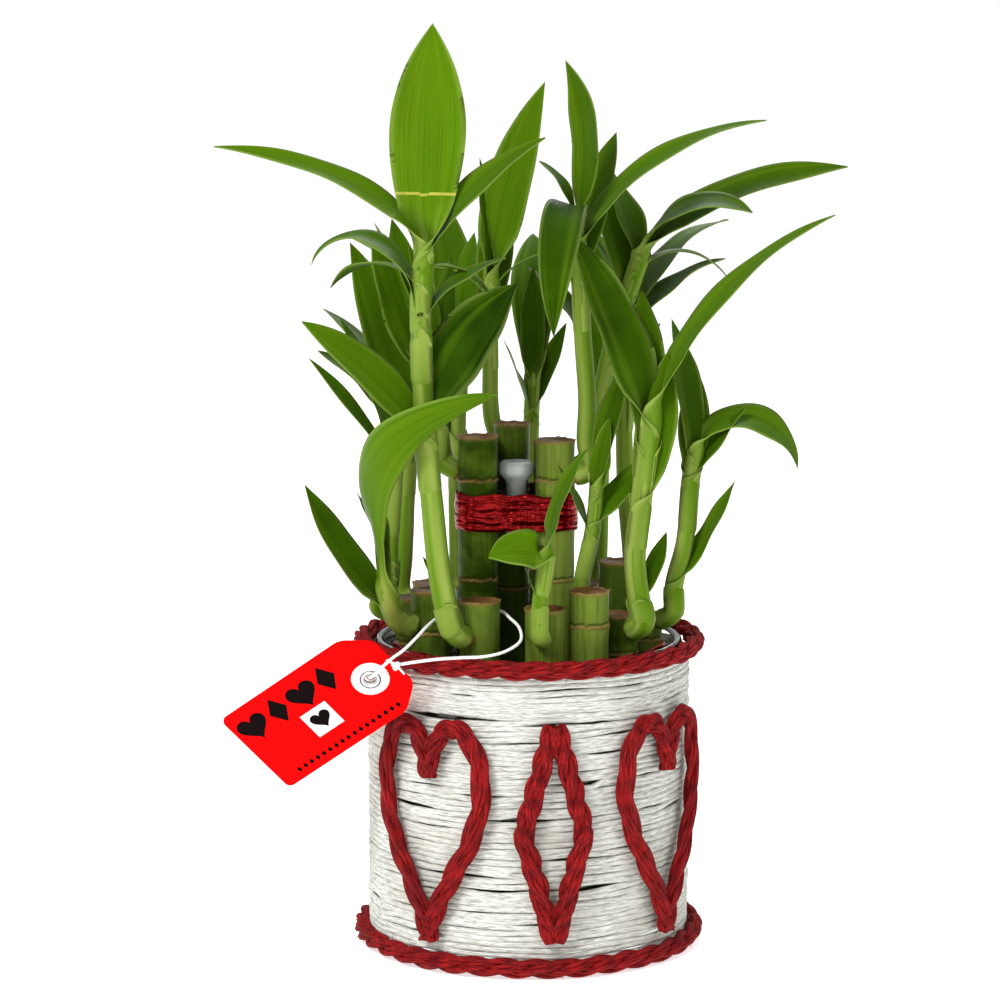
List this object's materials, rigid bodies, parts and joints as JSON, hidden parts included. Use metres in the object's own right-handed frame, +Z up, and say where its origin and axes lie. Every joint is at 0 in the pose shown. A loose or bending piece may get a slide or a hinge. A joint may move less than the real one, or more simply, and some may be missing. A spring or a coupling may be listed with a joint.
{
  "type": "lucky bamboo in a vase",
  "caption": "Leafy lucky bamboo: cut stalks tied in an inner and an outer tier, standing in a glass vase wound with white twine and trimmed with red rope, with a blank hang tag.",
  "frame": {"origin": "centre of the vase's foot, on the surface it stands on", "axes": "+Z up along the vase's axis, -Y to the front with the rope motifs, +X to the right seen from the front"},
  "size_m": [0.1963, 0.1408, 0.2855],
  "materials": {
    "glass": "clear, polished",
    "pebbles": "wet river pebbles, dark grey and brown",
    "white_twine": "bleached jute twine, dull and hairy",
    "red_rope": "dyed jute rope, twisted, dull",
    "clear_plastic": "translucent grey-white plastic tube",
    "red_ribbon": "metallised film ribbon, shiny",
    "stalk": "living green cane, satin, tan node rings and cuts",
    "leaf": "living leaf, waxy, satin",
    "red_card": "coated red card, satin, blank",
    "white_plastic": "white reinforcing washer",
    "white_string": "white cotton string"
  },
  "bodies": {
    "root": {"glass_vase": "glass", "pebble_bed": "pebbles", "white_twine_wrap": "white_twine", "top_rope_border": "red_rope", "bottom_rope_border": "red_rope", "rope_heart_left": "red_rope", "rope_lozenge_centre": "red_rope", "rope_heart_right": "red_rope", "core_tube": "clear_plastic", "upper_ribbon_tie": "red_ribbon", "lower_ribbon_tie": "red_ribbon", "inner_stalk_1": "stalk", "inner_stalk_2": "stalk", "inner_stalk_3": "stalk", "inner_stalk_4": "stalk", "inner_stalk_5": "stalk", "outer_stalk_1": "stalk", "outer_stalk_2": "stalk", "outer_stalk_3": "stalk", "outer_stalk_4": "stalk", "outer_stalk_5": "stalk", "outer_stalk_6": "stalk", "outer_stalk_7": "stalk", "outer_stalk_8": "stalk", "outer_stalk_9": "stalk", "outer_stalk_10": "stalk", "outer_stalk_11": "stalk", "outer_stalk_12": "stalk", "inner_shoot_1": "leaf", "inner_shoot_2": "leaf", "inner_shoot_3": "leaf", "inner_shoot_4": "leaf", "inner_shoot_5": "leaf", "outer_shoot_1": "leaf", "outer_shoot_2": "leaf", "outer_shoot_3": "leaf", "outer_shoot_4": "leaf", "outer_shoot_5": "leaf", "outer_shoot_6": "leaf", "outer_shoot_7": "leaf", "outer_shoot_8": "leaf", "outer_shoot_9": "leaf", "outer_shoot_10": "leaf", "outer_shoot_11": "leaf", "outer_shoot_12": "leaf", "gift_tag": "red_card", "tag_washer": "white_plastic", "tag_string": "white_string", "string_knot": "white_string", "stopper_knot": "white_string"}
  },
  "joints": []
}
